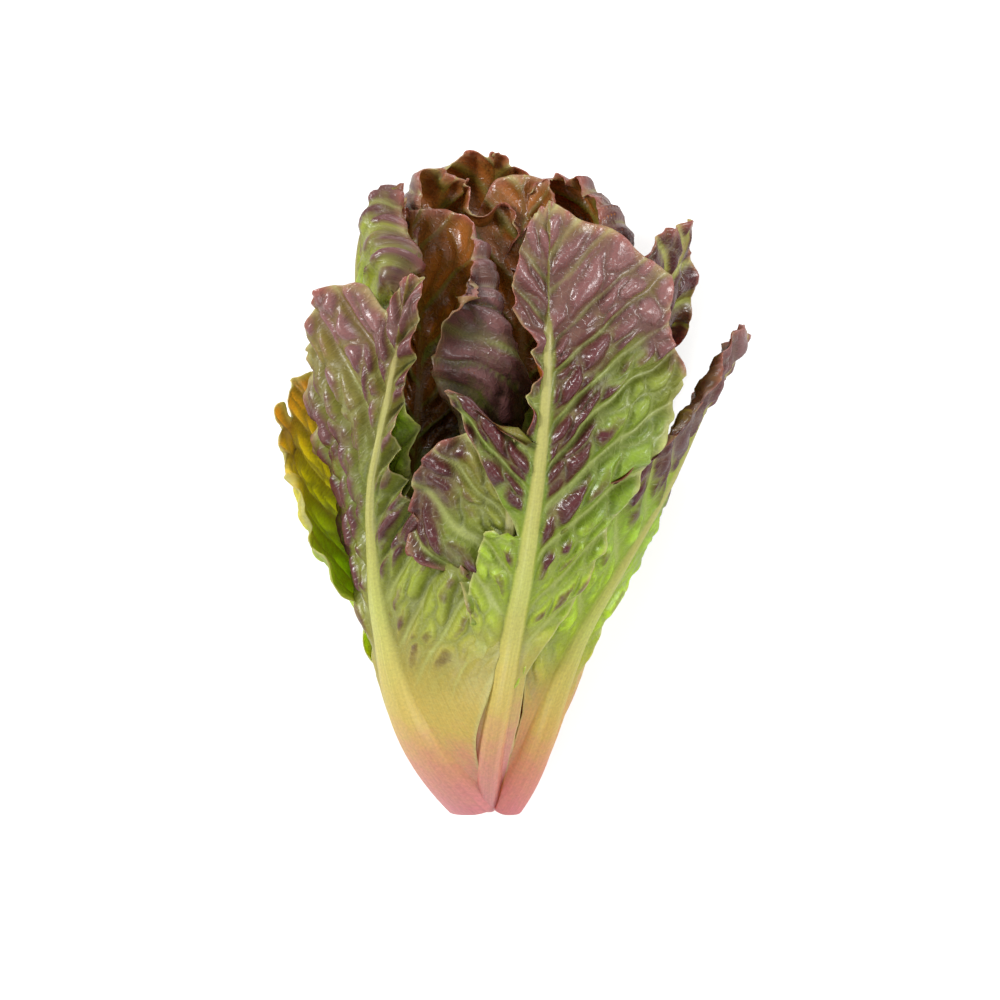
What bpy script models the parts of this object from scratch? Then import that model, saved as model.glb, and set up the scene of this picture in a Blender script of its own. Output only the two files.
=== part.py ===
"""A head of red romaine lettuce, lying on its side: a short cut core and the leaves that grow from it.

Metres, +Z up. The head's axis runs along +Y, from the cut butt to the leaf tips, and the head lies on Z = 0.
Each leaf is a thin sheet on one of a nest of shells round the axis. A place on a sheet is given by u, across
the blade from -1 to +1, and v, from 0 at the butt to 1 at the tip. A higher level lies further out. The
sheets are worked out with the butt at Y = 0, and the whole head is then centred on its own box.
"""

import math

import bpy
import numpy as np

MM = 0.001

# Driving dimensions, in millimetres
CORE_LENGTH = 42.0
CORE_BUTT_RADIUS = 10.0
CORE_TIP_RADIUS = 3.5
CORE_SIDES = 24
CUP_RADIUS = 17.0        # the innermost shell where the blades are widest
LEVEL_STEP = 2.05        # how far each shell lies outside the last
OUTER_LEVEL = 17.0
FIRST_START = 1.5        # where the outermost petiole leaves the butt
START_STEP = 1.9         # how much further up the core each inner level starts
RISE_LENGTH = 31.0       # how slowly a shell opens from the core
OPEN_FROM = 60.0         # where the head starts to flare
OPEN_LENGTH = 60.0       # how slowly it flares
OPENING = 18.0           # how far the outermost shell flares in all
PETIOLE_GAP = 1.0        # clear space between the core and a petiole
WIDTH = 1.06             # the head settles under its weight: a section is wider than it is high
DEPTH = 0.86
UNDERSIDE = 0.90         # where the flat underside cuts a section
UNDERSIDE_CORNER = 14.0  # how sharply the underside turns into the sides
RESTING_LEVEL = 17.0     # the shell that lies on the surface
SETTLING = 0.4           # how far its blade is pressed onto the surface
BLADE_THICK = 1.3
RESTING_THICK = 0.8      # what is left of a blade that is pressed against the surface
RIB_THICK = 3.0          # how far the rib stands out at the butt
RIB_TIP_THICK = 0.5
RIB_HALF_WIDTH = 10.0    # at the butt
RIB_TIP_HALF_WIDTH = 1.6
SHOULDER_DROP = 0.16     # how far the blade's corners lie below its tip, as a share of its length
GRID = (13, 17)          # points across a blade, and along it
MIDDLE_GRID = (11, 15)
HEART_GRID = (9, 13)

# A leaf's half-width at even stops from butt to tip, as shares of its petiole's and of its blade's widest
PETIOLE_SHARE = (0.62, 0.98, 0.95, 0.60, 0.25, 0.05, 0.00, 0.00, 0.00)
BLADE_SHARE = (0.00, 0.00, 0.08, 0.38, 0.72, 0.93, 1.00, 0.94, 0.72)


def ease(x):
    """0 before x = 0, 1 after x = 1, and a smooth S between."""
    x = np.clip(x, 0.0, 1.0)
    return x * x * (3.0 - 2.0 * x)


def unit(a):
    return a / np.maximum(np.linalg.norm(a, axis=-1, keepdims=True), 1e-9)


def stops(values, v):
    """A value that changes smoothly along the leaf, through evenly spaced stops."""
    values = np.atleast_1d(np.asarray(values, float))
    if len(values) == 1:
        return values[0] + 0.0 * v
    slopes = np.gradient(values)
    at = np.clip(v, 0.0, 1.0) * (len(values) - 1)
    first = np.minimum(at.astype(int), len(values) - 2)
    t = at - first
    rise = values[first + 1] - values[first]
    bend = slopes[first] * (t - 2 * t**2 + t**3) + slopes[first + 1] * (t**3 - t**2)
    return values[first] + rise * ease(t) + bend


def core_radius(s):
    taper = np.clip(s / CORE_LENGTH, 0.0, 1.0) ** 1.3
    return CORE_BUTT_RADIUS + (CORE_TIP_RADIUS - CORE_BUTT_RADIUS) * taper


def leaf_start(level):
    """How far up the core a petiole on this level starts."""
    return FIRST_START + START_STEP * (OUTER_LEVEL - level)


def shell_radius(level, s):
    """Distance of a shell from the axis at s along it: an opening bud that flares towards its mouth."""
    start = leaf_start(level)
    at_core = core_radius(start) + PETIOLE_GAP + 0.5 * BLADE_THICK
    full = CUP_RADIUS + LEVEL_STEP * level
    rise = 1.0 - np.exp(-np.maximum(s - start, 0.0) / RISE_LENGTH)
    flare = 1.0 - np.exp(-(np.maximum(s - OPEN_FROM, 0.0) / OPEN_LENGTH) ** 1.5)
    return at_core + (full - at_core) * rise + OPENING * level / OUTER_LEVEL * flare


def axis_height(s):
    """Height of the axis over the surface, so that the resting shell's flat underside touches it."""
    return DEPTH * UNDERSIDE * shell_radius(RESTING_LEVEL, s) - SETTLING


def place(s, theta, r):
    """Points at s along the axis, theta round it and r from it, with the underside pressed flat."""
    down = np.maximum(-np.sin(theta), 0.0) / UNDERSIDE
    press = (1.0 + down**UNDERSIDE_CORNER) ** (-1.0 / UNDERSIDE_CORNER)
    x = WIDTH * r * press * np.cos(theta)
    z = axis_height(s) + DEPTH * r * press * np.sin(theta)
    return np.stack(np.broadcast_arrays(x, s, z), axis=-1)


def half_width(leaf, u, v):
    """Half the leaf's width on the side of u: its own stops, or a petiole and a blade of the usual shape."""
    if "widths" in leaf:
        right, left = (stops(side, v) for side in leaf["widths"])
    else:
        petiole = leaf["petiole"] * stops(PETIOLE_SHARE, v)
        right, left = (petiole + size * stops(BLADE_SHARE, v) for size in leaf["blade"])
    return np.where(u > 0, right, left)


def margin_line(leaf, u, v):
    """Distance along the axis: the blade's corners lie lower than its tip, and notches cut into it."""
    start = leaf_start(leaf["level"])
    length = leaf["tip"] - start
    upper = ease((v - 0.3) / 0.7)
    s = start + length * v - leaf.get("drop", SHOULDER_DROP) * length * np.abs(u) ** 2.6 * upper
    for at, depth, width in leaf.get("notches", ()):
        s = s - depth * np.exp(-(((u - at) / width) ** 2)) * ease((v - 0.6) / 0.4)
    right, left = leaf.get("sweep", (0.0, 0.0))
    return s + np.where(u > 0, right, left) * np.abs(u) ** 1.5 * ease((v - 0.2) / 0.3)


def wave(leaf, u, v):
    """How far the margins wave in and out."""
    size, waves = leaf.get("wave", (1.2, 3.0))
    turns = waves * v + 0.37 * np.sign(u)
    return size * np.abs(u) ** 2 * np.sin(2.0 * math.pi * turns) * ease((v - 0.25) / 0.3)


def arc(start, heading, side, length, turn):
    """Points reached from start by going length along heading while turning through turn towards side."""
    turn = np.where(np.abs(turn) < 1e-4, 1e-4, turn)
    forward = (length * np.sin(turn) / turn)[..., None]
    sideways = (length * (1.0 - np.cos(turn)) / turn)[..., None]
    return start + heading * forward + side * sideways


def cupped(leaf, u, v, rib, width):
    """A blade that bends by its own cup instead of round the axis. Its back faces the twist's angle."""
    facing = np.radians(stops(leaf["theta"], v) + stops(leaf["twist"], v))
    level = np.zeros_like(facing)
    back = np.stack([np.cos(facing), level, np.sin(facing)], axis=-1)
    heading = np.sign(u)[..., None] * np.stack([np.sin(facing), level, -np.cos(facing)], axis=-1)
    right, left = leaf["cup"]
    turn = np.radians(np.where(u > 0, stops(right, v), stops(left, v))) * np.abs(u)
    return arc(rib, heading, -back, width, turn) + back * wave(leaf, u, v)[..., None]


def sheet(leaf, u, v):
    """The middle of the leaf on its shell, moved out by its lip and edges, and waved along its margins."""
    s = margin_line(leaf, u, v)
    shell = shell_radius(leaf["level"], s)
    middle = np.radians(stops(leaf["theta"], v))
    width = np.abs(u) * half_width(leaf, u, v)
    lip = stops(leaf.get("lip", 0.0), v)
    if "cup" in leaf:
        return cupped(leaf, u, v, place(s, middle, shell + lip), width)
    right, left = leaf.get("edge", (0.0, 0.0))
    edge = np.where(u > 0, stops(right, v), stops(left, v)) * np.abs(u) ** 2
    return place(s, middle - np.sign(u) * width / shell, shell + lip + edge + wave(leaf, u, v))


def rib_height(leaf, u, v):
    """How far the rib stands out behind the blade."""
    height = leaf.get("rib", 1.0) * (RIB_TIP_THICK + (RIB_THICK - RIB_TIP_THICK) * (1.0 - v) ** 1.4)
    height = height * (0.5 + 0.5 * ease(v / 0.12))
    reach = RIB_TIP_HALF_WIDTH + (RIB_HALF_WIDTH - RIB_TIP_HALF_WIDTH) * (1.0 - v) ** 2.2
    away = np.abs(u) * half_width(leaf, u, v) / reach
    return height * np.cos(0.5 * math.pi * np.clip(away, 0.0, 1.0)) ** 2


def leaf_points(leaf):
    """A closed skin round the sheet: a grid of points on its outer face, then one on its inner face."""
    columns, rows = leaf.get("grid", GRID)
    spread = np.linspace(-1.0, 1.0, columns)
    across = np.sign(spread) * np.abs(spread) ** 1.15
    u, v = np.meshgrid(across, np.linspace(0.0, 1.0, rows) ** 1.2, indexing="ij")
    middle = sheet(leaf, u, v)
    normal = unit(np.cross(np.gradient(middle, axis=0), np.gradient(middle, axis=1)))
    half = 0.5 * BLADE_THICK
    outer = middle + normal * (half + rib_height(leaf, u, v))[..., None]
    inner = middle - normal * half
    outer[..., 2] = np.maximum(outer[..., 2], 0.0)
    inner[..., 2] = np.maximum(inner[..., 2], RESTING_THICK)
    return np.concatenate([outer.reshape(-1, 3), inner.reshape(-1, 3)])


def leaf_faces(leaf):
    """Quads of both faces of the skin, and of the rim between them."""
    columns, rows = leaf.get("grid", GRID)
    index = np.arange(columns * rows).reshape(columns, rows)
    outer = np.stack([index[:-1, :-1], index[1:, :-1], index[1:, 1:], index[:-1, 1:]], axis=-1).reshape(-1, 4)
    inner = outer[:, ::-1] + columns * rows
    rim = np.concatenate([index[:, 0], index[-1, 1:], index[-2::-1, -1], index[0, -2::-1]])
    lower = rim + columns * rows
    walls = np.stack([rim[1:], rim[:-1], lower[:-1], lower[1:]], axis=-1)
    return np.concatenate([outer, inner, walls]).tolist()


def core_points():
    """Rings up the cut stem, a cone with a rounded top. The first ring bounds the flat cut face."""
    stations = np.array([0.0, 0.04, 0.3, 0.6, 0.85, 1.0]) * CORE_LENGTH
    radii = core_radius(stations)
    radii[0] -= 0.8
    radii[-1] *= 0.45
    around = np.linspace(0.0, 2.0 * math.pi, CORE_SIDES, endpoint=False)
    return np.concatenate([place(s, around, r) for s, r in zip(stations, radii)])


def core_faces(rings):
    faces = [list(range(CORE_SIDES))]
    for ring in range(rings - 1):
        for side in range(CORE_SIDES):
            a = ring * CORE_SIDES + side
            b = ring * CORE_SIDES + (side + 1) % CORE_SIDES
            faces.append([a, a + CORE_SIDES, b + CORE_SIDES, b])
    last = (rings - 1) * CORE_SIDES
    faces.append([last + side for side in reversed(range(CORE_SIDES))])
    return faces


# The leaves, from the outermost in. theta is in degrees round the axis, 0 on the right and 90 on top, at even
# stops along the leaf. Pairs give the right and the left side as seen from outside with the tip up.
LEAVES = [
    dict(name="leaf_front_right", level=17.0, theta=77, tip=211, drop=0.12, rib=0.9,
         widths=((8, 10, 12, 22, 33, 44, 52, 50, 40), (8, 12, 12, 9, 30, 13, 5, 8, 6)),
         edge=((0, 0, 2, 6, 6), (0, 0, -4, -3, 0)), sweep=(0, 26), wave=(0.6, 3)),
    dict(name="leaf_back", level=17.0, theta=268, tip=236, petiole=12, blade=(40, 44)),
    dict(name="leaf_back_left", level=15.0, theta=(212, 212, 214, 216, 214), tip=158, petiole=12,
         blade=(44, 12), lip=(0, 0, 4, 12, 15)),
    dict(name="leaf_front_small", level=15.0, theta=(95, 90, 86, 86, 86), tip=134, drop=0.10, rib=0.3,
         widths=((1.5, 4, 6, 8, 10, 12, 18, 22, 18), (1.5, 4, 6, 9, 10, 14, 34, 36, 32)), wave=(0.3, 3)),
    dict(name="leaf_right_front", level=14.0, theta=(44, 47, 28, 4, -2), tip=174, petiole=13, blade=(40, 22),
         lip=(0, 0, 3, 9, 20)),
    dict(name="leaf_front_left", level=13.0, theta=(127, 144, 154, 140, 122), tip=190, drop=0.02,
         widths=((4, 13, 24, 33, 30, 16, 7, 5, 4), (7, 12, 12, 14, 34, 42, 43, 42, 34)),
         edge=((0, 0, 0, 0, 0), (0, 0, 4, 8, 9)), notches=((-0.35, 14, 0.2),), wave=(0.8, 3)),
    dict(name="leaf_right", level=11.0, theta=(38, 36, 30, 24, 20), tip=206, petiole=12, blade=(38, 38),
         lip=(0, 0, 0, 2, 16)),
    dict(name="leaf_left", level=10.0, theta=182, tip=228, petiole=12, blade=(42, 42)),
    dict(name="leaf_back_right", level=9.0, theta=320, tip=230, petiole=11, blade=(40, 40), grid=MIDDLE_GRID),
    dict(name="leaf_inner_top", level=8.0, theta=97, tip=128, petiole=11, blade=(34, 34), grid=MIDDLE_GRID),
    dict(name="leaf_inner_back_left", level=7.0, theta=234, tip=228, petiole=11, blade=(34, 36),
         grid=MIDDLE_GRID),
    dict(name="leaf_inner_right", level=6.0, theta=12, tip=190, petiole=10, blade=(32, 32), grid=MIDDLE_GRID),
    dict(name="leaf_cup_left", level=5.0, theta=(150, 162, 190, 200, 200), tip=214,
         widths=((6, 9, 10, 11, 9, 8, 7, 7, 6), (6, 9, 10, 12, 26, 46, 50, 44, 28)),
         lip=(0, 0, 0, -4, 0), twist=(0, 0, 20, 60, 60), cup=((50, 50, 50, 40, 40), (50, 50, 75, 180, 60))),
    dict(name="leaf_inner_back", level=4.0, theta=287, tip=226, petiole=9, blade=(30, 30), grid=MIDDLE_GRID),
    dict(name="leaf_heart_top", level=3.0, theta=64, tip=118, petiole=8, blade=(22, 22), grid=HEART_GRID),
    dict(name="leaf_heart_left", level=2.0, theta=212, tip=100, petiole=7, blade=(12, 12), rib=0.6,
         grid=HEART_GRID),
    dict(name="leaf_heart_right", level=1.0, theta=340, tip=150, petiole=7, blade=(18, 18), rib=0.6,
         grid=HEART_GRID),
    dict(name="leaf_bud", level=0.0, theta=117, tip=88, petiole=6, blade=(11, 11), rib=0.3, grid=HEART_GRID),
]


def material(name, colour, roughness):
    made = bpy.data.materials.new(name)
    made.use_nodes = True
    shader = made.node_tree.nodes["Principled BSDF"]
    shader.inputs["Base Color"].default_value = (*colour, 1.0)
    shader.inputs["Roughness"].default_value = roughness
    shader.inputs["Metallic"].default_value = 0.0
    made.diffuse_color = (*colour, 1.0)
    return made


def add_object(name, points, faces, finish):
    mesh = bpy.data.meshes.new(name)
    mesh.from_pydata((points * MM).tolist(), [], faces)
    mesh.materials.append(finish)
    mesh.shade_smooth()
    mesh.update()
    made = bpy.data.objects.new(name, mesh)
    bpy.context.scene.collection.objects.link(made)
    return made


def main():
    for old in list(bpy.data.objects):
        bpy.data.objects.remove(old)
    stem_finish = material("pale_stem", (0.86, 0.70, 0.55), 0.5)
    leaf_finish = material("red_green_leaf", (0.30, 0.16, 0.10), 0.45)
    core = core_points()
    solids = [("core", core, core_faces(len(core) // CORE_SIDES), stem_finish)]
    for leaf in LEAVES:
        solids.append((leaf["name"], leaf_points(leaf), leaf_faces(leaf), leaf_finish))
    everything = np.concatenate([points for _, points, _, _ in solids])
    centre = 0.5 * (everything.min(axis=0) + everything.max(axis=0))
    centre[2] = 0.0
    for name, points, faces, finish in solids:
        add_object(name, points - centre, faces, finish)


main()
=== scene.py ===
# A head of red romaine lettuce lying on its side, seen from above.
# Every leaf is a sheet on one of a nest of shells round the head's axis, as in the solids it stands for. A place on
# a sheet is u, across the blade from -1 to +1, and v, from 0 at the butt to 1 at the tip. Lengths are in millimetres
# until a mesh is made.
import math

import bpy
import numpy as np
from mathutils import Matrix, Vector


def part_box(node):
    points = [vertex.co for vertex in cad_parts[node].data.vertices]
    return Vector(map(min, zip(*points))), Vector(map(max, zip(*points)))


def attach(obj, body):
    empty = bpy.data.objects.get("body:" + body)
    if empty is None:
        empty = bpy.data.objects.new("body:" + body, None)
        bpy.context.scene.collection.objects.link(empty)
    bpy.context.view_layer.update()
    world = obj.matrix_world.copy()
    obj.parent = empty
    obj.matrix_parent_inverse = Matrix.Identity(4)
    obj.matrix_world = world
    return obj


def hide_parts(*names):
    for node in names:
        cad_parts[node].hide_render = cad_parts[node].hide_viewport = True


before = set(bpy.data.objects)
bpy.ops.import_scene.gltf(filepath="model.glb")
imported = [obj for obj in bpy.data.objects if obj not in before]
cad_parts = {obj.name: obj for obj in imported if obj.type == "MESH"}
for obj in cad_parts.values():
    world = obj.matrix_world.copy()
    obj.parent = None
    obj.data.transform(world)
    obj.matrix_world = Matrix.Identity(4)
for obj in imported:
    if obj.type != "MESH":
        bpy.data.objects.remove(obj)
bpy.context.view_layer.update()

mm = 0.001

head = dict(
    coreLength=42.0, coreButtRadius=10.0, coreTipRadius=3.5,
    cupRadius=17.0, levelStep=2.05, outerLevel=17.0,      # the innermost shell, and how far apart the shells are
    firstStart=1.5, startStep=1.9,                        # where the petioles leave the core
    riseLength=31.0,                                      # how soon a shell has swung out from the core
    openFrom=60.0, openLength=60.0, opening=18.0,         # where the head opens, and by how much
    petioleGap=1.0, solidThick=1.3,
    width=1.06, depth=0.86,                               # across and through, as shares of a round head
    underside=0.90, undersideCorner=14.0, restingLevel=17.0, settling=0.4,     # pressed flat where it lies
    lean=3.0, leanEnd=150.0,                              # the axis bends a little to one side at the butt
)
# how much of its petiole's and of its blade's width a plain leaf has, from butt to tip
petioleShare = (0.62, 0.98, 0.95, 0.60, 0.25, 0.05, 0.00, 0.00, 0.00)
bladeShare = (0.00, 0.00, 0.08, 0.38, 0.72, 0.93, 1.00, 0.94, 0.72)
sweepWidth = 32.0                                         # the half width at which a leaf's sweep counts in full
floorGap = 0.05                                           # no leaf goes lower than this
# what a leaf is unless its own entry says otherwise. A pair is for u > 0 and for u < 0, and a longer row of values
# runs from butt to tip
plainLeaf = dict(
    grid=(91, 151), look="plain", uneven=0.06,            # points across and along, finish, unevenness of the width
    drop=0.16, slant=(0.0, 0.0), sweep=(0.0, 0.0),        # how the tip is cut: lower corners, slanted or swept sides
    notches=(), tipUneven=3.0,
    lip=0.0, edge=(0.0, 0.0), wave=(1.2, 3.0),            # off the shell: all of it, its sides, and how they wave
    rib=1.0, ribWide=(4.6, 1.6), ribEnd=0.93,             # the rib's height, width and end
    veinGap=15.0, climb=1.1, cell=6.0,                    # side veins apart, their climb, and the pillows' size
    pleat=2.4, puff=1.8, billow=2.2, ruffle=(3.0, 16.0),  # heights of the relief, and the ruffles' length
    red=0.5, redSides=(0.0, 0.0), patches=0.5, pillowRed=0.5, pleatRed=0.3,    # where the red is
    bloomAndSheen=0.0, warm=0.2,                                  # wax and painted sheen over the red, yellow in the green
)


# 0 before x = 0, 1 after x = 1, a smooth S between
def ease(x):
    x = np.clip(x, 0.0, 1.0)
    return x * x * (3.0 - 2.0 * x)


# vectors over their own lengths
def unit(a):
    return a / np.maximum(np.linalg.norm(a, axis=-1, keepdims=True), 1e-9)


# a smooth curve in v through evenly spaced values
def stops(values, v):
    values = np.atleast_1d(np.asarray(values, float))
    if len(values) == 1:
        return values[0] + 0.0 * v
    slopes = np.gradient(values)
    at = np.clip(v, 0.0, 1.0) * (len(values) - 1)
    first = np.minimum(at.astype(int), len(values) - 2)
    t = at - first
    rise = values[first + 1] - values[first]
    bend = slopes[first] * (t - 2 * t**2 + t**3) + slopes[first + 1] * (t**3 - t**2)
    return values[first] + rise * ease(t) + bend


# straight lines between (v, value) pairs, or a smooth curve through plain values
def knots(values, v):
    if isinstance(values, tuple) and isinstance(values[0], tuple):
        at, heights = zip(*values)
        return np.interp(v, at, heights)
    return stops(values, v)


# whole numbers scrambled into 0 to 1, always the same way
def scramble(i, j, seed):
    h = (i * 374761393 + j * 668265263 + seed * 974634777) & 0x7FFFFFFF
    h = ((h ^ (h >> 13)) * 1274126177) & 0x7FFFFFFF
    return ((h ^ (h >> 16)) & 0xFFFF) / 65535.0


# smooth bumps between -1 and 1, one for each unit square: scrambled corner values blended by an S in x and in y
def bumps(x, y, seed):
    i, j = np.floor(x).astype(np.int64), np.floor(y).astype(np.int64)
    a, b = ease(x - i), ease(y - j)
    low = scramble(i, j, seed) * (1 - a) + scramble(i + 1, j, seed) * a
    high = scramble(i, j + 1, seed) * (1 - a) + scramble(i + 1, j + 1, seed) * a
    return 2.0 * (low * (1 - b) + high * b) - 1.0


# bumps with three finer layers on them, each half as strong
def roughBumps(x, y, seed):
    return sum(bumps(x * 2.0**k + 7.3 * k, y * 2.0**k - 3.1 * k, seed + k) / 2.0**k for k in range(4)) / 1.875


# distances to the nearest and the second nearest of one scattered point in each unit square
def cells(x, y, seed):
    i, j = np.floor(x).astype(np.int64), np.floor(y).astype(np.int64)
    nearest = np.full(x.shape, 9.0)
    second = np.full(x.shape, 9.0)
    for di in (-1, 0, 1):
        for dj in (-1, 0, 1):
            px = i + di + 0.1 + 0.8 * scramble(i + di, j + dj, seed)
            py = j + dj + 0.1 + 0.8 * scramble(i + di, j + dj, seed + 51)
            away = np.hypot(px - x, py - y)
            second = np.minimum(second, np.maximum(nearest, away))
            nearest = np.minimum(nearest, away)
    return nearest, second


# the core's radius at s along the axis: a cone that narrows as (s / length)^1.3
def coreRadius(s):
    taper = np.clip(s / head["coreLength"], 0.0, 1.0) ** 1.3
    return head["coreButtRadius"] + (head["coreTipRadius"] - head["coreButtRadius"]) * taper


# where a shell's leaf leaves the core: the outermost first, and the others by equal steps
def leafStart(level):
    return head["firstStart"] + head["startStep"] * (head["outerLevel"] - level)


# a shell's radius at s: it rises from the core as 1 - exp(-s), then flares as 1 - exp(-s^1.5)
def shellRadius(level, s, start=None):
    start = leafStart(level) if start is None else start
    atCore = coreRadius(start) + head["petioleGap"] + 0.5 * head["solidThick"]
    full = head["cupRadius"] + head["levelStep"] * level
    rise = 1.0 - np.exp(-np.maximum(s - start, 0.0) / head["riseLength"])
    flare = 1.0 - np.exp(-(np.maximum(s - head["openFrom"], 0.0) / head["openLength"]) ** 1.5)
    return atCore + (full - atCore) * rise + head["opening"] * level / head["outerLevel"] * flare


# the axis stands as high as the outermost shell reaches down
def axisHeight(s):
    return head["depth"] * head["underside"] * shellRadius(head["restingLevel"], s) - head["settling"]


# a point s along the axis, theta round it and r from it: a wide ellipse whose underside is pressed flat
def place(s, theta, r):
    down = np.maximum(-np.sin(theta), 0.0) / head["underside"]
    press = (1.0 + down ** head["undersideCorner"]) ** (-1.0 / head["undersideCorner"])
    x = head["width"] * r * press * np.cos(theta) - head["lean"] * (1.0 - ease(s / head["leanEnd"]))
    z = axisHeight(s) + head["depth"] * r * press * np.sin(theta)
    return np.stack(np.broadcast_arrays(x, s, z), axis=-1)


# half the leaf's width on the side of u: its own row of widths, or petiole + blade by their shares, times 1 + bumps
def halfWidth(leaf, u, v):
    if "widths" in leaf:
        right, left = (knots(side, v) for side in leaf["widths"])
    else:
        petiole = leaf["petiole"] * stops(petioleShare, v)
        right, left = (petiole + size * stops(bladeShare, v) for size in leaf["blade"])
    uneven = leaf["uneven"] * ease((v - 0.3) / 0.2) * bumps(v * 11.0, np.sign(u) * 5.0, leaf["seed"])
    return np.where(u > 0, right, left) * (1.0 + uneven)


# how far along the axis: start + length * v, less drop * |u|^2.6 at the corners, less the slant and the notches near
# the tip, plus the sweep of the side veins as width^1.5, plus the tip's unevenness
def marginLine(leaf, u, v):
    length = leaf["tip"] - leaf["start"]
    nearTip = ease((v - 0.6) / 0.4)
    s = leaf["start"] + length * v - leaf["drop"] * length * np.abs(u) ** 2.6 * ease((v - 0.3) / 0.7)
    right, left = leaf["slant"]
    s = s - np.where(u > 0, right, left) * np.abs(u) * nearTip
    for at, deep, wide in leaf["notches"]:
        s = s - deep * np.exp(-(((u - at) / wide) ** 2)) * nearTip
    right, left = leaf["sweep"]
    out = np.minimum(np.abs(u) * halfWidth(leaf, u, v) / sweepWidth, 1.2)
    s = s + np.where(u > 0, right, left) * out**1.5 * ease((v - 0.2) / 0.3)
    return s + leaf["tipUneven"] * bumps(u * 4.0 + 9.0, 0.0 * u, leaf["seed"] + 3) * ease((v - 0.7) / 0.3)


# margins that wave in and out as sin along v, growing as u^2
def wave(leaf, u, v):
    size, waves = leaf["wave"]
    turns = waves * v + 0.37 * np.sign(u)
    return size * np.abs(u) ** 2 * np.sin(2.0 * math.pi * turns) * ease((v - 0.25) / 0.3)


# points reached from start by going length along heading while turning through turn towards side
def arc(start, heading, side, length, turn):
    turn = np.where(np.abs(turn) < 1e-4, 1e-4, turn)
    forward = (length * np.sin(turn) / turn)[..., None]
    sideways = (length * (1.0 - np.cos(turn)) / turn)[..., None]
    return start + heading * forward + side * sideways


# a blade that bends by its own cup, its back facing theta + twist, instead of following the shell. Going out from the
# rib, the heading turns steadily by the cup's angle, and for u < 0 by the fold's angle as well, over a short stretch
# across and as cos^2 along v. A point is the sum of the headings of equal short steps, so the margin folds back
def cupped(leaf, u, v, rib, width):
    facing = np.radians(stops(leaf["theta"], v) + stops(leaf["twist"], v))
    level = np.zeros_like(facing)
    back = np.stack([np.cos(facing), level, np.sin(facing)], axis=-1)
    heading = np.sign(u)[..., None] * np.stack([np.sin(facing), level, -np.cos(facing)], axis=-1)
    right, left = leaf["cup"]
    cup = np.radians(np.where(u > 0, stops(right, v), stops(left, v)))
    fold = leaf["foldOver"]
    window = np.cos(0.5 * math.pi * np.clip((v - fold["at"]) / fold["reach"], -1.0, 1.0)) ** 2
    folding = math.radians(fold["angle"]) * window * (u < 0)
    ahead, aside, steps = 0.0 * u, 0.0 * u, fold["steps"]
    for step in range(steps):
        part = np.abs(u) * (step + 0.5) / steps
        turn = cup * part + folding * ease((part - fold["start"]) / fold["wide"])
        ahead, aside = ahead + np.cos(turn) / steps, aside + np.sin(turn) / steps
    bent = rib + heading * (width * ahead)[..., None] - back * (width * aside)[..., None]
    return bent + back * wave(leaf, u, v)[..., None]


# the leaf's middle surface: at theta - width / radius round the axis and radius + lip + edge * u^2 + wave from it
def shellSheet(leaf, u, v):
    s = marginLine(leaf, u, v)
    shell = shellRadius(leaf["level"], s, leaf["start"])
    middle = np.radians(stops(leaf["theta"], v))
    width = np.abs(u) * halfWidth(leaf, u, v)
    lip = stops(leaf["lip"], v)
    if "cup" in leaf:
        return cupped(leaf, u, v, place(s, middle, shell + lip), width)
    right, left = leaf["edge"]
    edge = np.where(u > 0, stops(right, v), stops(left, v)) * np.abs(u) ** 2
    return place(s, middle - np.sign(u) * width / shell, shell + lip + edge + wave(leaf, u, v))


# unit vectors away from the axis, square to heading
def outward(points, heading):
    away = points.copy()
    away[..., 1] = 0.0
    away[..., 2] -= axisHeight(points[..., 1])
    away = unit(away)
    return unit(away - heading * np.sum(away * heading, axis=-1, keepdims=True))


# the sheet with its tip turned over: past a limit in v it goes on along an arc, whose angle falls off as exp(-u^2)
def sheet(leaf, u, v):
    if "tipCurl" not in leaf:
        return shellSheet(leaf, u, v)
    limit = leaf["tipCurl"]["start"]
    held = np.minimum(v, limit)
    base = shellSheet(leaf, u, held)
    heading = unit(base - shellSheet(leaf, u, held - 0.03))
    past = np.maximum(v - limit, 0.0)
    length = past * (leaf["tip"] - leaf["start"]) * (1.0 - leaf["drop"] * np.abs(u) ** 2.6)
    turn = math.radians(leaf["tipCurl"]["angle"]) * past / (1.0 - limit) * np.exp(-((u / 9.0) ** 2))
    return arc(base, heading, outward(base, heading), length, turn)


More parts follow.
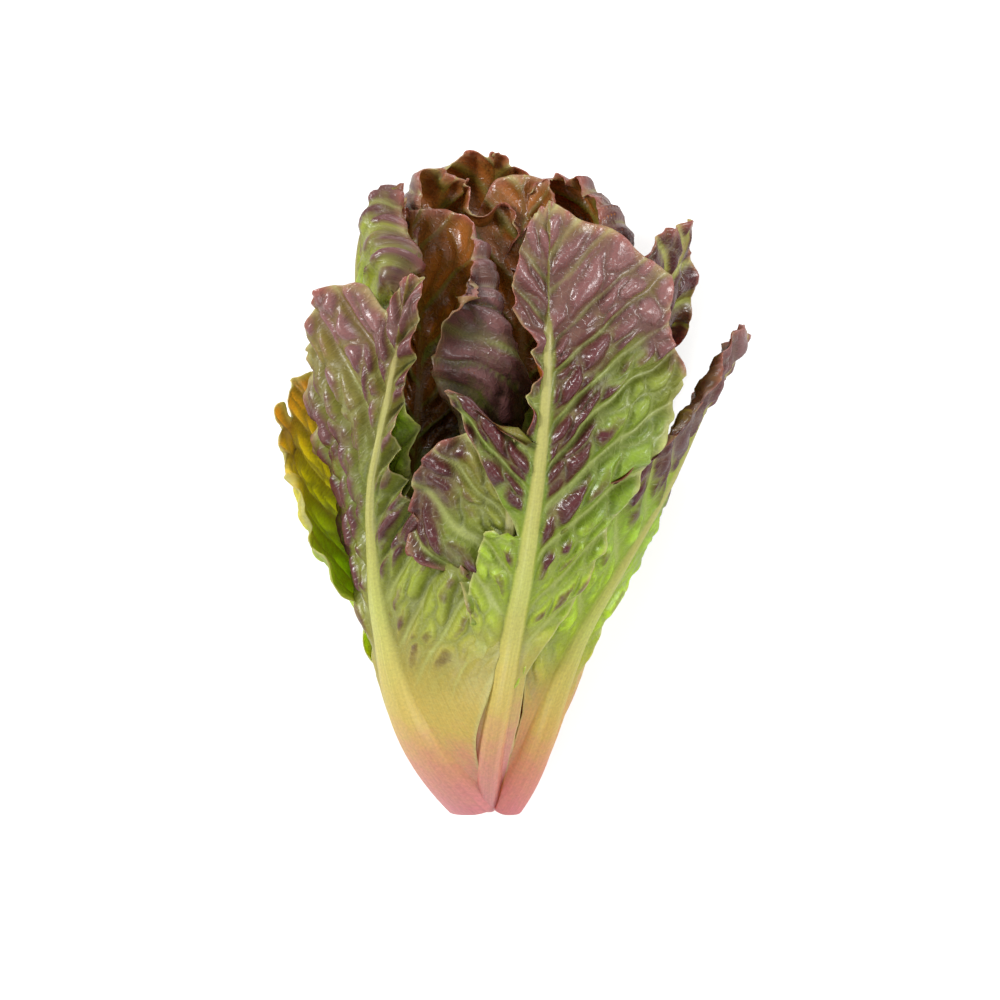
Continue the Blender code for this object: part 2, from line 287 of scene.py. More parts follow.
# side veins and the net between them, on the flattened blade: x mm from the rib, y mm along it. A side vein is where
# (y - climb * |x|) / gap is whole, bent by bumps. The net runs between scattered cells, as exp(-distance^2), and each
# cell bulges in a pillow as 1 - exp(-distance^2). Between two side veins the blade pleats as a sine
def veins(leaf, x, y, seed):
    gap = leaf["veinGap"]
    reach = np.abs(x)
    side = np.sign(x)
    bent = 3.0 * bumps(x / 24.0, y / 24.0, seed + 11) + 1.2 * bumps(x / 8.0, y / 8.0, seed + 12)
    order = (y - leaf["climb"] * reach + 0.004 * reach**2 + bent) / gap + 0.25 * side
    order = order + 0.22 * bumps(order * 0.9, side * 8.0, seed + 13)
    between = order - np.floor(order)
    apart = gap * 0.7                                     # straight across from one side vein to the next
    away = np.minimum(between, 1.0 - between) * apart
    thick = 0.35 + 0.85 * np.exp(-reach / 16.0)
    sideVein = np.exp(-((away / thick) ** 2))
    size = leaf["cell"]
    warpX = 0.35 * roughBumps(x / 9.0, y / 9.0, seed + 14)
    warpY = 0.35 * roughBumps(x / 9.0, y / 9.0, seed + 15)
    nearest, second = cells(reach / (size * 1.45) + warpX + side * 40.0, order * apart / size + warpY, seed + 16)
    edge = second - nearest
    net = np.exp(-((edge / 0.11) ** 2))
    pillow = (1.0 - np.exp(-((edge / 0.33) ** 2))) * (1.0 - np.exp(-((away / 1.8) ** 2)))
    pillow = pillow * (0.72 + 0.28 * bumps(reach / 11.0, order * 2.1, seed + 17))
    pleat = np.sin(math.pi * between) ** 0.8 * (0.55 + 0.45 * between)
    return sideVein, net, pillow, pleat


# half the rib's width, which narrows as (1 - v) to a power
def ribReach(leaf, v):
    wide, power = leaf["ribWide"]
    return 1.1 + wide * (1.0 - v) ** power


# 1 along the rib, 0 past its end
def ribHolds(leaf, v):
    return 1.0 - ease((v - leaf["ribEnd"]) / 0.06)


# the rib's height behind the blade, as (1 - v)^1.4 along it and 1 - |x|^2.6 across it, and how much of it shows
def ribShape(leaf, x, v):
    height = leaf["rib"] * (0.4 + 2.6 * (1.0 - v) ** 1.4)
    across = np.clip(np.abs(x) / ribReach(leaf, v), 0.0, 1.4)
    ends = ribHolds(leaf, v)
    bar = np.clip(1.0 - np.minimum(across, 1.0) ** 2.6, 0.0, 1.0)
    return height * bar * ends, (1.0 - ease((across - 0.7) / 0.45)) * ends


# the blade's unevenness, out from its middle surface: pleats between the side veins + pillows between the finer ones
# + wide folds, all off the rib, + ruffles that grow towards the margin and the tip
def bladeRelief(leaf, u, v, x, y, parts):
    seed = leaf["seed"]
    pillow, pleat = parts[2:]
    reach = ribReach(leaf, v) * ribHolds(leaf, v)
    blade = ease((v - 0.16) / 0.2) * ease((np.abs(x) - 0.7 * reach) / (0.5 + 1.2 * reach))
    rimNear = ease((np.abs(u) - 0.45) / 0.55)
    tipNear = ease((v - 0.8) / 0.2)
    height = blade * (stops(leaf["pleat"], v) * (pleat - 0.5) + stops(leaf["puff"], v) * (pillow - 0.4))
    height = height + blade * leaf["billow"] * roughBumps(x / 30.0 + 3.0, y / 30.0, seed + 21)
    size, length = leaf["ruffle"]
    side = np.sign(u) * 3.0
    ripple = bumps(y / length, side, seed + 22) + 0.45 * bumps(y / (0.4 * length), side, seed + 23)
    height = height + size * ripple * rimNear**1.6 * ease((v - 0.28) / 0.2)
    ripple = bumps(x / length, 0.0 * x, seed + 24) + 0.45 * bumps(x / (0.4 * length), 0.0 * x, seed + 25)
    return height + size * ripple * tipNear**1.4 * (1.0 - rimNear), blade, rimNear, tipNear


# how red, how lilac (the leaf's wax and a painted sheen of glancing light) and how yellow each point is, 0 to 1:
# the leaf's own row along v + its sides + patches, pillows and pleats, less the side veins
def leafColours(leaf, u, v, x, y, parts):
    sideVein, _, pillow, pleat = parts
    seed = leaf["seed"]
    right, left = leaf["redSides"]
    patches = roughBumps(x / 20.0, y / 20.0, seed + 31)
    red = stops(leaf["red"], v)
    red = red + np.where(u > 0, stops(right, v), stops(left, v)) * ease((np.abs(u) - 0.2) / 0.6)
    red = red + leaf["patches"] * patches + leaf["pillowRed"] * (pillow - 0.5) - 0.35 * sideVein
    red = red + leaf["pleatRed"] * (pleat - 0.45)
    red = np.clip(red, 0.0, 1.0) * ease((v - 0.16) / 0.12)
    # the lilac is partly the leaf's waxy bloom and partly a painted sheen of light glancing off the outer face
    waxAndSheen = stops(leaf["bloomAndSheen"], v)
    bloomAndSheen = np.clip(waxAndSheen + 0.35 * bumps(x / 17.0, y / 17.0, seed + 32), 0.0, 1.0) * (waxAndSheen > 0.01)
    warm = stops(leaf["warm"], v) + 0.4 * roughBumps(x / 26.0, y / 26.0, seed + 33)
    return red, bloomAndSheen, np.clip(warm, 0.0, 1.0)


# one closed leaf: the outer face is the sheet + its normal * (relief + half the thickness + rib + veins), the inner
# face is the sheet + its normal * (relief - half the thickness + half the veins), and a rim joins them. What the
# finish reads is stored on the points
def leafMesh(leaf):
    columns, rows = leaf["grid"]
    u, v = np.meshgrid(np.linspace(-1.0, 1.0, columns), np.linspace(0.0, 1.0, rows) ** 1.05, indexing="ij")
    middle = sheet(leaf, u, v)
    normal = unit(np.cross(np.gradient(middle, axis=0), np.gradient(middle, axis=1)))
    x = u * halfWidth(leaf, u, v)
    y = marginLine(leaf, u, v) - leaf["start"]
    parts = veins(leaf, x, y, leaf["seed"])
    sideVein, net, pillow = parts[:3]
    rib, onRib = ribShape(leaf, x, v)
    height, blade, rimNear, tipNear = bladeRelief(leaf, u, v, x, y, parts)
    petiole = 1.6 * (1.0 - ease(v / 0.4)) * (1.0 - np.abs(u) ** 3)
    thick = 0.5 * (0.75 - 0.35 * np.maximum(rimNear, tipNear) + petiole)
    veinHeight = blade * (0.45 * sideVein + 0.14 * net) * (1.0 - 0.8 * rimNear)
    outer = middle + normal * (height + thick + rib + veinHeight)[..., None]
    inner = middle + normal * (height - thick + 0.5 * veinHeight)[..., None]
    outer[..., 2] = np.maximum(outer[..., 2], floorGap)
    inner[..., 2] = np.maximum(inner[..., 2], floorGap + 0.4)
    points = np.concatenate([outer.reshape(-1, 3), inner.reshape(-1, 3)]) * mm + shift
    red, bloomAndSheen, warm = leafColours(leaf, u, v, x, y, parts)
    marks = dict(along=v, vein=np.clip(sideVein * blade + 0.5 * net * blade, 0, 1), pillow=pillow * blade,
                 rim=np.maximum(ease((np.abs(u) - 0.93) / 0.07), ease((v - 0.975) / 0.025)),
                 bloomAndSheen=bloomAndSheen, warm=warm)
    both = {name: np.concatenate([np.broadcast_to(mark, u.shape).ravel()] * 2) for name, mark in marks.items()}
    both["rib"] = np.concatenate([onRib.ravel(), (0.5 * onRib * np.exp(-((x / 1.6) ** 2))).ravel()])
    both["red"] = np.concatenate([(red * blade).ravel(), red.ravel()])
    both["face"] = np.repeat([1.0, 0.0], u.size)
    flat = np.tile(np.stack([x.ravel(), y.ravel()], axis=-1) * mm, (2, 1))
    return points, shellFaces(columns, rows), both, flat


# quads of an outer grid, of an inner grid after it, and of the rim between them
def shellFaces(columns, rows):
    index = np.arange(columns * rows).reshape(columns, rows)
    outer = np.stack([index[:-1, :-1], index[1:, :-1], index[1:, 1:], index[:-1, 1:]], axis=-1).reshape(-1, 4)
    inner = outer[:, ::-1] + columns * rows
    rim = np.concatenate([index[:, 0], index[-1, 1:], index[-2::-1, -1], index[0, -2::-1]])
    lower = rim + columns * rows
    walls = np.stack([rim[1:], rim[:-1], lower[:-1], lower[1:]], axis=-1)
    return np.concatenate([outer, inner, walls])


# a mesh object from quads, with one number a point for each mark and a flat map in metres
def addMesh(name, points, quads, marks, flat):
    mesh = bpy.data.meshes.new(name)
    mesh.vertices.add(len(points))
    mesh.vertices.foreach_set("co", points.astype(np.float32).ravel())
    mesh.loops.add(quads.size)
    mesh.loops.foreach_set("vertex_index", quads.astype(np.int32).ravel())
    mesh.polygons.add(len(quads))
    mesh.polygons.foreach_set("loop_start", np.arange(0, quads.size, 4, dtype=np.int32))
    mesh.update(calc_edges=True)
    mesh.validate()
    mesh.shade_smooth()
    for mark, values in marks.items():
        layer = mesh.attributes.new(mark, "FLOAT", "POINT")
        layer.data.foreach_set("value", values.astype(np.float32))
    uv = mesh.uv_layers.new(name="flat")
    uv.data.foreach_set("uv", flat[quads.ravel()].astype(np.float32).ravel())
    piece = bpy.data.objects.new(name, mesh)
    bpy.context.scene.collection.objects.link(piece)
    return piece


# nodes: a small helper that makes one, sets its plain values and links its inputs
class Nodes:
    def __init__(self, name):
        self.material = bpy.data.materials.new(name)
        self.material.use_nodes = True
        self.tree = self.material.node_tree
        self.shader = self.tree.nodes["Principled BSDF"]
        self.out = self.tree.nodes["Material Output"]

    def make(self, kind, inputs=(), **settings):
        node = self.tree.nodes.new(kind)
        for setting, value in settings.items():
            setattr(node, setting, value)
        for key, value in dict(inputs).items():
            self.put(node.inputs[key], value)
        return node

    def put(self, socket, value):
        if hasattr(value, "links"):
            self.tree.links.new(value, socket)
        else:
            socket.default_value = value

    def mark(self, name):
        return self.make("ShaderNodeAttribute", attribute_name=name).outputs["Fac"]

    def noise(self, vector, scale, output="Fac", **settings):
        return self.make("ShaderNodeTexNoise", {"Vector": vector, "Scale": scale, **settings}).outputs[output]

    def ramp(self, fac, colours):
        node = self.make("ShaderNodeValToRGB", {"Fac": fac})
        elements = node.color_ramp.elements
        while len(elements) < len(colours):
            elements.new(0.5)
        for element, (at, colour) in zip(elements, colours):
            element.position = at
            element.color = (*colour, 1.0)
        return node.outputs["Color"]

    def mix(self, fac, a, b, blend="MIX"):
        node = self.make("ShaderNodeMix", data_type="RGBA", blend_type=blend)
        self.put(node.inputs["Factor"], fac)
        self.put(node.inputs[6], a if hasattr(a, "links") else (*a, 1.0))
        self.put(node.inputs[7], b if hasattr(b, "links") else (*b, 1.0))
        return node.outputs[2]

    def math(self, operation, a, b=0.0, clamp=False):
        node = self.make("ShaderNodeMath", {0: a, 1: b}, operation=operation, use_clamp=clamp)
        return node.outputs[0]


leafFinish = dict(
    green=[(0.0, (0.58, 0.19, 0.22)), (0.13, (0.60, 0.27, 0.24)), (0.20, (0.56, 0.42, 0.15)),
           (0.34, (0.40, 0.54, 0.025)), (0.55, (0.22, 0.34, 0.018)), (1.0, (0.24, 0.20, 0.035))],
    olive=[(0.0, (0.60, 0.20, 0.22)), (0.08, (0.60, 0.28, 0.15)), (0.16, (0.56, 0.42, 0.09)),
           (0.36, (0.34, 0.32, 0.05)), (0.6, (0.24, 0.21, 0.035)), (1.0, (0.34, 0.20, 0.04))],
    purple=[(0.0, (0.16, 0.06, 0.035)), (0.45, (0.085, 0.018, 0.018)), (0.8, (0.10, 0.021, 0.024)),
            (1.0, (0.14, 0.040, 0.045))],
    # the inner face by v: near black up to the middle, painted shade of the head's deep inside, then orange brown
    inside=[(0.0, (0.06, 0.05, 0.010)), (0.42, (0.07, 0.034, 0.008)), (0.58, (0.17, 0.055, 0.008)),
            (0.82, (0.34, 0.095, 0.008)), (1.0, (0.36, 0.13, 0.03))],
    rib=[(0.0, (0.60, 0.20, 0.22)), (0.09, (0.60, 0.29, 0.18)), (0.18, (0.58, 0.45, 0.12)),
         (0.38, (0.52, 0.54, 0.14)), (0.55, (0.48, 0.46, 0.13)), (0.75, (0.44, 0.42, 0.14)),
         (1.0, (0.32, 0.22, 0.10))],
    veinGreen=(0.50, 0.55, 0.17), veinRed=(0.26, 0.15, 0.11), veinInside=(0.22, 0.12, 0.02),
    # the lilac colour: partly the waxy bloom, partly a painted sheen of light glancing off the outer face
    bloomAndSheen=(0.26, 0.12, 0.115), rimRed=(0.36, 0.12, 0.09), rimGreen=(0.52, 0.50, 0.20),
    gloss=0.27, shine=0.16, seeThrough=0.32,              # roughness of the red, coat, share of light let through
)


# green or olive along the leaf, purple brown where it is red, with a lilac that is partly waxy bloom and partly
# painted sheen, painted shade in the hollows between the pillows, paler veins and the rib over them
def leafMaterial(name, look):
    n = Nodes(name)
    flat = n.make("ShaderNodeUVMap", uv_map="flat").outputs["UV"]
    along, red, pillow, vein, rib = (n.mark(mark) for mark in ("along", "red", "pillow", "vein", "rib"))
    face, rim, bloomAndSheen, warm = (n.mark(mark) for mark in ("face", "rim", "bloomAndSheen", "warm"))
    cloud = n.noise(flat, 170.0, Detail=6.0, Roughness=0.62)
    speck = n.noise(flat, 1100.0, Detail=3.0)
    drift = n.math("SUBTRACT", cloud, 0.5)
    upLeaf = n.math("ADD", along, n.math("MULTIPLY", drift, 0.12))
    low = n.ramp(along, [(0.2, (1, 1, 1)), (0.34, (0, 0, 0))])   # the petiole
    green = n.mix(warm, n.ramp(upLeaf, look["green"]), n.ramp(upLeaf, look["olive"]))
    purple = n.ramp(n.math("ADD", pillow, n.math("MULTIPLY", drift, 0.8), clamp=True), look["purple"])
    # painted sheen: the lilac mixed over the purple is partly the leaf's wax and partly glancing light
    purple = n.mix(bloomAndSheen, purple, look["bloomAndSheen"])
    # in the plain finish the inner face's dark lower half is painted shade deep inside the head
    inside = n.ramp(n.math("ADD", along, n.math("MULTIPLY", drift, 0.35), clamp=True), look["inside"])
    reds = n.mix(face, inside, purple)
    patchy = n.math("ADD", red, n.math("MULTIPLY", drift, 0.7), clamp=True)
    blade = n.mix(n.ramp(patchy, [(0.25, (0, 0, 0)), (0.45, (0.55, 0.55, 0.55)), (0.68, (1, 1, 1))]), green, reds)
    veinOut = n.mix(n.math("ADD", red, bloomAndSheen, clamp=True), look["veinGreen"], look["veinRed"])
    veinColour = n.mix(face, look["veinInside"], veinOut)
    # painted shade: the blade darkens to about 0.6 in the hollows between the pillows, where shade falls; the petiole
    # is left out
    valleyShade = n.ramp(pillow, [(0.0, (0.62, 0.62, 0.58)), (0.55, (1.0, 1.0, 1.0))])
    blade = n.mix(n.math("SUBTRACT", 1.0, low), blade, n.mix(1.0, blade, valleyShade, "MULTIPLY"))
    blade = n.mix(n.math("MULTIPLY", vein, 0.58), blade, veinColour)
    wobbly = n.mix(0.0012, flat, n.noise(flat, 250.0, "Color"))
    scattered = n.make("ShaderNodeTexVoronoi", {"Vector": wobbly, "Scale": 420.0}, feature="DISTANCE_TO_EDGE")
    lace = n.ramp(scattered.outputs["Distance"], [(0.02, (1, 1, 1)), (0.10, (0, 0, 0))])
    blade = n.mix(n.math("MULTIPLY", lace, 0.10), blade, veinColour)
    edge = n.mix(red, look["rimGreen"], look["rimRed"])
    blade = n.mix(n.math("MULTIPLY", rim, 0.7), blade, edge)
    ribColour = n.mix(face, look["veinInside"], n.ramp(upLeaf, look["rib"]))
    colour = n.mix(rib, blade, ribColour)
    colour = n.mix(0.35, colour, n.ramp(speck, [(0.3, (0.62, 0.62, 0.55)), (0.7, (1.15, 1.15, 1.1))]), "MULTIPLY")
    stripes = n.make("ShaderNodeMapping", {"Vector": flat, "Scale": (1500.0, 30.0, 1.0)}).outputs["Vector"]
    grain = n.noise(stripes, 1.0, Detail=2.0)
    streaks = n.math("MAXIMUM", rib, low)
    colour = n.mix(n.math("MULTIPLY", streaks, 0.25), colour,
                   n.ramp(grain, [(0.35, (0.75, 0.72, 0.6)), (0.65, (1.15, 1.15, 1.1))]), "MULTIPLY")
    wrinkle = n.noise(flat, 420.0, Detail=4.0)
    relief = n.mix(streaks, n.mix(0.3, wrinkle, lace), grain)
    bump = n.make("ShaderNodeBump", {"Strength": 0.35, "Distance": 0.0009, "Height": relief}).outputs["Normal"]
    shader = n.shader
    n.put(shader.inputs["Base Color"], colour)
    n.put(shader.inputs["Roughness"], n.ramp(red, [(0.2, (look["gloss"] + 0.19,) * 3), (0.7, (look["gloss"],) * 3)]))
    n.put(shader.inputs["Normal"], bump)
    shader.inputs["Specular IOR Level"].default_value = 0.5
    shader.inputs["Coat Weight"].default_value = look["shine"]
    shader.inputs["Coat Roughness"].default_value = 0.18
    glow = n.make("ShaderNodeHueSaturation", {"Saturation": 1.15, "Value": 1.6, "Color": colour}).outputs["Color"]
    through = n.make("ShaderNodeBsdfTranslucent", {"Color": glow, "Normal": bump}).outputs["BSDF"]
    both = n.make("ShaderNodeMixShader", {"Fac": look["seeThrough"], 1: shader.outputs["BSDF"], 2: through})
    n.put(n.out.inputs["Surface"], both.outputs["Shader"])
    return n.material


stem = dict(
    around=96, ringsAlong=28, cutRadius=9.4, dip=0.5, ripple=0.03,
    pale=(0.74, 0.60, 0.40), ring=(0.66, 0.44, 0.30), skin=(0.62, 0.34, 0.28),
)


# the cut stem: one darker ring on the cut face, pinker at the skin
def stemMaterial():
    n = Nodes("cutStem")
    cloud = n.noise(n.make("ShaderNodeTexCoord").outputs["Object"], 500.0, Detail=4.0)
    wobble = n.math("ADD", n.mark("middle"), n.math("MULTIPLY", n.math("SUBTRACT", cloud, 0.5), 0.12))
    colour = n.ramp(wobble, [(0.0, stem["pale"]), (0.55, stem["pale"]), (0.68, stem["ring"]), (0.8, stem["pale"]),
                             (1.0, stem["skin"])])
    bump = n.make("ShaderNodeBump", {"Strength": 0.3, "Distance": 0.0008, "Height": cloud}).outputs["Normal"]
    n.put(n.shader.inputs["Base Color"], colour)
    n.put(n.shader.inputs["Normal"], bump)
    n.shader.inputs["Roughness"].default_value = 0.42
    n.shader.inputs["Coat Weight"].default_value = 0.2
    return n.material


# the cap over a ring of points: quads between its two halves
def capFaces(ring):
    half = len(ring) // 2
    back = ring[::-1]
    return np.stack([ring[:half - 1], ring[1:half], back[1:half], back[:half - 1]], axis=-1)


# the core: rings of points whose radius is coreRadius * (1 + ripple), and on the cut face rings that sink towards the
# middle as 1 - radius^2
def addStem(finish):
    around = np.linspace(0.0, 2.0 * math.pi, stem["around"], endpoint=False)
    cut = np.array([0.02, 0.25, 0.5, 0.75, 0.92, 0.985])
    along = np.linspace(0.03, 0.97, stem["ringsAlong"]) * head["coreLength"]
    stations = np.concatenate([stem["dip"] * (1.0 - cut**2), 0.4 + along, [head["coreLength"]]])[:, None]
    radii = np.concatenate([cut * stem["cutRadius"], coreRadius(along), [0.3]])[:, None]
    ripple = bumps(np.cos(around)[None] * 2.0 + 5.0, np.sin(around)[None] * 2.0 + stations / 9.0, 5)
    points = place(stations, around[None], radii * (1.0 + stem["ripple"] * ripple))
    middle = np.concatenate([cut, np.ones(len(along) + 1)])[:, None] + 0.0 * around
    index = np.arange(middle.size).reshape(middle.shape)
    after = np.roll(index, -1, axis=1)
    quads = np.stack([index[:-1], index[1:], after[1:], after[:-1]], axis=-1).reshape(-1, 4)
    quads = np.concatenate([quads, capFaces(index[0]), capFaces(index[-1])[:, ::-1]])
    flat = np.stack([points[..., 0], points[..., 2]], axis=-1).reshape(-1, 2) * mm
    piece = addMesh("core_cut_stem", points.reshape(-1, 3) * mm + shift, quads, dict(middle=middle.ravel()), flat)
    piece.data.materials.append(finish)
    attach(piece, "root")
    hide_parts("core")
    return piece


low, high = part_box("core")
shift = np.array([0.5 * (low[0] + high[0]), low[1], 0.0])   # where the middle of the cut face stands
print("head: butt at", np.round(shift, 4))

fineGrid = (141, 241)
# the leaves from the outermost inwards. theta is where each stands round the axis, in degrees from the right over the
# top, and tip is how far along the axis it ends
leaves = [
    dict(node="leaf_front_right", seed=101, level=17.0, theta=(96, 84, 79, 77, 77), tip=211, drop=0.03, rib=0.9,
         widths=(((0, 3), (0.06, 7), (0.15, 9), (0.23, 8), (0.29, 13), (0.36, 20), (0.47, 28), (0.56, 35), (0.66, 43),
                  (0.75, 51), (0.82, 47), (0.88, 42), (1, 42)),
                 ((0, 3), (0.06, 7), (0.15, 13), (0.25, 17), (0.36, 17), (0.44, 15), (0.46, 4), (0.5, 11), (0.56, 24),
                  (0.59, 32), (0.605, 30), (0.615, 5), (0.79, 4), (0.825, 12), (0.90, 11), (0.97, 7), (1, 5))),
         lip=(-2, -4, -4, 0, 0, 0, 0, 0, 0), uneven=0.03, slant=(16, 0), tipUneven=1.5, grid=fineGrid,
         edge=((0, 0, 2, 6, 6), (0, 0, -2, 3, 0)), sweep=(0, 26), wave=(0.6, 3), ribEnd=0.77,
         red=(0, 0, 0, 0.3, 1.0, 1.1, 1.1, 1.1, 1.0), patches=0.6,
         redSides=((0, 0, 0, -0.2, -1.0, -1.3, -1.3, 0.0, 0), (0, 0, 0, -0.5, 0.1, 0, 0)),
         bloomAndSheen=(0, 0, 0, 0, 0, 0, 0, 0.6, 1), pillowRed=0.9, warm=(0, 0.5, 0.2, 0, 0, 0.3, 0.5),
         puff=(0, 0.9, 3.6, 4.0, 1.8), pleat=(0, 1.0, 3.6, 3.8, 1.2), cell=6.5, ruffle=(1.6, 18)),
    dict(node="leaf_back", seed=102, level=17.0, theta=268, tip=238, petiole=12, blade=(40, 44), uneven=0.2,
         tipUneven=9, red=(0, 0, 0.1, 0.4, 0.8, 1.0, 1.0), ruffle=(9, 12), tipCurl=dict(start=0.88, angle=-60),
         bloomAndSheen=(0, 0, 0, 0.3)),
    dict(node="leaf_back_left", seed=103, level=15.0, theta=(212, 212, 214, 216, 214), tip=158, petiole=12,
         blade=(44, 12), lip=(0, 0, 4, 12, 15), look="backlitGlow", notches=((0.6, 12, 0.12),), uneven=0.15,
         red=(0, 0, 0, 0, 0, 0.1), warm=(0, 0, 0, 0.4, 1.0, 1.0)),
    dict(node="leaf_front_small", seed=104, level=15.0, theta=(92, 88, 86, 86), tip=134, drop=0.10, rib=0.3,
         widths=((3, 7, 8, 9, 10, 12, 18, 22, 18), (3, 7, 8, 9, 10, 14, 34, 36, 32)), wave=(0.3, 3),
         red=0, redSides=(0, (0, 0, 0.3, 0.8, 1.0)), warm=0, puff=3.5, cell=6.5,
         grid=(121, 181), ruffle=(4.0, 8)),
    dict(node="leaf_right_front", seed=105, level=14.0, start=1.5, theta=(60, 51, 28, 5, -2), tip=174,
         widths=(((0, 5), (0.1, 8), (0.3, 9), (0.42, 9), (0.48, 18), (0.58, 32), (0.75, 42), (0.9, 36), (1, 30)),
                 ((0, 5), (0.1, 9), (0.2, 11), (0.3, 17), (0.45, 26), (0.6, 38), (0.72, 48), (0.85, 46), (1, 30))),
         lip=(0, -3, -1, 7, 20), rib=1.3, ribWide=(7.5, 1.8), uneven=0.08, grid=(111, 181), ruffle=(4, 12),
         look="backlitGlow", red=(0, 0, 0, 0, 0, 0.3, 1.0, 1.2, 1.2), bloomAndSheen=(0, 0, 0, 0, 0, 0.2, 0.8),
         warm=(0.8, 0.8, 0.1, 0, 0.4, 0.8)),
    dict(node="leaf_front_left", seed=106, level=13.0, start=1.5, theta=(132, 146, 151, 133, 120), tip=190, drop=0.02,
         widths=((9, 20, 36, 44, 32, 13, 5, 5, 5), (9, 12, 12, 14, 36, 46, 49, 47, 38)),
         edge=((0, 0, 0, 0, 0), (0, 0, 4, 8, 9)), notches=((-0.35, 14, 0.2),), wave=(0.8, 3),
         lip=(2, 4, 4, 3, 0, 0, 0, 0, 0), ribWide=(11, 2.2), rib=1.3, ribEnd=0.82,
         red=(0, 0, 0, 0.1, 0.3, 0.35, 0.35, 0.45, 0.9), warm=(1, 1, 0.9, 0.7, 0.4, 0.5, 0.6, 0.8),
         bloomAndSheen=(0, 0, 0, 0.2, 0.35, 0.45, 0.9), patches=0.8, pillowRed=0.8,
         pleatRed=0.7, puff=(0, 0.8, 2.6, 3.2, 2.0), pleat=(0, 0.8, 5.5, 7.0, 4.0), climb=1.5, veinGap=17.0,
         grid=fineGrid),
    dict(node="leaf_right", seed=107, level=11.0, theta=(38, 36, 30, 24, 20), tip=208, petiole=12, blade=(38, 38),
         lip=(0, 0, 0, 2, 14), red=(0, 0, 0.1, 0.4, 0.7, 0.9, 1.0), ruffle=(5, 15), look="backlitGlow"),
    dict(node="leaf_left", seed=108, level=10.0, theta=182, tip=232, petiole=12, blade=(42, 42), tipUneven=5,
         ruffle=(6, 15), tipCurl=dict(start=0.88, angle=-90), look="backlitGlow",
         red=(0, 0, 0, 0, 0, 0, 0.1, 0.5, 1.0), bloomAndSheen=(0, 0, 0, 0, 1)),
    dict(node="leaf_back_right", seed=109, level=9.0, theta=320, tip=234, petiole=11, blade=(40, 40), uneven=0.15,
         tipUneven=8, red=(0, 0, 0.2, 0.6, 0.9, 1.0), ruffle=(8, 12), tipCurl=dict(start=0.88, angle=-80),
         bloomAndSheen=(0, 0, 0, 0.4)),
    dict(node="leaf_inner_top", seed=110, level=8.0, theta=97, tip=128, petiole=11, blade=(34, 34),
         red=(0, 0, 0.1, 0.3, 0.5)),
    dict(node="leaf_inner_back_left", seed=111, level=7.0, theta=234, tip=232, petiole=11, blade=(34, 36),
         uneven=0.15, tipUneven=8, ruffle=(8, 12), tipCurl=dict(start=0.88, angle=-60),
         red=(0, 0, 0.2, 0.6, 0.9, 1.0)),
    dict(node="leaf_inner_right", seed=112, level=6.0, theta=12, tip=190, petiole=10, blade=(32, 32),
         red=(0, 0, 0.2, 0.6, 0.9, 1.0)),
    dict(node="leaf_cup_left", seed=113, level=5.0, theta=(150, 162, 190, 200, 200), tip=214,
         widths=((6, 9, 10, 11, 9, 8, 7, 7, 6), (6, 9, 10, 12, 30, 66, 84, 72, 46)),
         lip=(0, 0, 0, -4, 0), twist=(0, 0, 30, 88, 88), cup=((50, 50, 50, 40, 40), (50, 50, 80, 80, 70)),
         foldOver=dict(at=0.73, reach=0.34, angle=125, start=0.56, wide=0.16, steps=48),
         red=(0, 0, 0.3, 0.8, 1.0, 1.0), bloomAndSheen=(0, 0, 0, 0.4, 0.7, 0.7), grid=(121, 181)),
    dict(node="leaf_inner_back", seed=114, level=4.0, theta=287, tip=228, petiole=9, blade=(30, 30),
         red=(0, 0, 0.3, 0.8, 1.0, 1.0)),
    dict(node="leaf_heart_top", seed=115, level=3.0, theta=64, tip=118, petiole=8, blade=(22, 22), grid=(61, 101),
         red=(0, 0, 0, 0.1, 0.3)),
    dict(node="leaf_heart_left", seed=116, level=2.0, theta=212, tip=100, petiole=7, blade=(12, 12), rib=0.6,
         grid=(61, 101), red=(0, 0, 0, 0.1, 0.3)),
    dict(node="leaf_heart_right", seed=117, level=1.0, theta=340, tip=150, petiole=7, blade=(18, 18), rib=0.6,
         grid=(61, 101), red=(0, 0, 0, 0.1, 0.4)),
    dict(node="leaf_bud", seed=118, level=0.0, theta=117, tip=88, petiole=6, blade=(11, 11), rib=0.3,
         grid=(61, 101), red=(0, 0, 0, 0.1, 0.2)),
]
leaves = [{**plainLeaf, "start": leafStart(leaf["level"]), **leaf} for leaf in leaves]


# a leaf of the list, in its finish and riding on the head
def addLeaf(leaf, finish):
    points, quads, marks, flat = leafMesh(leaf)
    piece = addMesh(leaf["node"] + "_blade", points, quads, marks, flat)
    piece.data.materials.append(finish)
    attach(piece, "root")
    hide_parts(leaf["node"])
    return piece


# thinner, greener leaves that turn yellow at the tip; their paler, yellower colours are painted light, the glow of
# light shining through them from behind
backlitFinish = dict(
    leafFinish, green=[(0.0, (0.60, 0.22, 0.23)), (0.08, (0.62, 0.30, 0.20)), (0.2, (0.56, 0.46, 0.12)),
                       (0.36, (0.50, 0.66, 0.03)), (0.62, (0.38, 0.56, 0.03)), (1.0, (0.34, 0.40, 0.05))],
    olive=[(0.0, (0.60, 0.20, 0.20)), (0.14, (0.64, 0.34, 0.16)), (0.3, (0.60, 0.44, 0.12)),
           (0.5, (0.60, 0.66, 0.05)), (0.8, (0.70, 0.62, 0.05)), (1.0, (0.72, 0.44, 0.08))],
    inside=[(0.0, (0.30, 0.34, 0.03)), (0.5, (0.34, 0.44, 0.03)), (0.75, (0.26, 0.22, 0.02)),
            (0.9, (0.16, 0.06, 0.03)), (1.0, (0.24, 0.12, 0.05))],
    seeThrough=0.45)
finishes = dict(plain=leafMaterial("redGreenLeaf", leafFinish), backlitGlow=leafMaterial("backlitGlowLeaf", backlitFinish))
addStem(stemMaterial())
print("stem: cut face", 2.0 * stem["cutRadius"], "mm across")
for leaf in leaves:
    addLeaf(leaf, finishes[leaf["look"]])
print("leaves:", len(leaves))

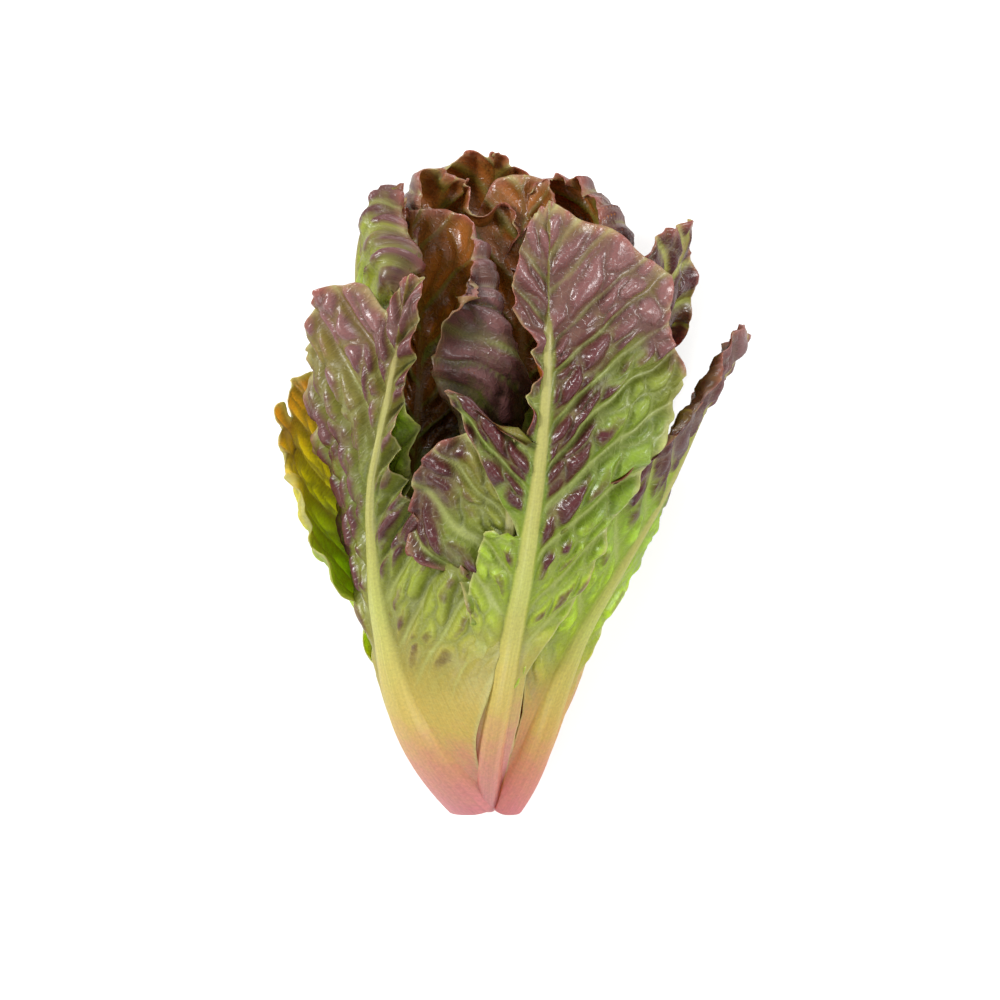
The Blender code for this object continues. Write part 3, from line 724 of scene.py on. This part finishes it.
studio = dict(
    middle=0.111, above=0.055, cameraHeight=1.44, lens=146.9,      # the camera over the middle of the head
    floorSize=6.0, floorGrey=0.92, surround=0.6,
    lamps=(("keyLight", (-0.9, 0.45, 0.75), 0.3, 16.5),            # place from the head's middle, side and watts
           ("fillLight", (0.95, 0.1, 0.6), 0.35, 10.0),
           ("topLight", (0.2, 0.95, 0.6), 0.4, 4.0),
           ("buttLight", (-0.1, -0.9, 0.8), 0.5, 5.0)),
)


# a square lamp at target + spot, turned to face the target
def addLamp(name, target, spot, size, power):
    lamp = bpy.data.lights.new(name, "AREA")
    lamp.shape = "SQUARE"
    lamp.size = size
    lamp.energy = power
    holder = bpy.data.objects.new(name, lamp)
    holder.location = target + np.array(spot)
    aim = unit(np.array(spot))
    holder.rotation_euler = (math.acos(aim[2]), 0.0, math.atan2(aim[0], -aim[1]))
    bpy.context.scene.collection.objects.link(holder)


# the floor, the soft lights and the camera, which looks straight down
def addStudio():
    bpy.ops.mesh.primitive_plane_add(size=studio["floorSize"], location=(0.0, 0.0, -0.0005))
    floor = bpy.context.object
    floor.name = "floor"
    n = Nodes("paleFloor")
    n.shader.inputs["Base Color"].default_value = (*[studio["floorGrey"]] * 3, 1.0)
    n.shader.inputs["Roughness"].default_value = 0.8
    floor.data.materials.append(n.material)
    world = bpy.data.worlds.new("studio")
    bpy.context.scene.world = world
    world.use_nodes = True
    world.node_tree.nodes["Background"].inputs["Color"].default_value = (1.0, 1.0, 1.0, 1.0)
    world.node_tree.nodes["Background"].inputs["Strength"].default_value = studio["surround"]
    for name, spot, size, power in studio["lamps"]:
        addLamp(name, shift + np.array([0.0, studio["middle"], 0.06]), spot, size, power)
    camera = bpy.data.cameras.new("camera")
    camera.lens = studio["lens"]
    camera.sensor_width = 36.0
    camera.clip_start = 0.01
    holder = bpy.data.objects.new("camera", camera)
    holder.location = shift + np.array([0.0, studio["middle"], studio["above"] + studio["cameraHeight"]])
    bpy.context.scene.collection.objects.link(holder)
    bpy.context.scene.camera = holder
    print("studio:", len(studio["lamps"]), "lamps")


addStudio()
bpy.context.scene.view_settings.view_transform = "Standard"   # colours are shown as they are
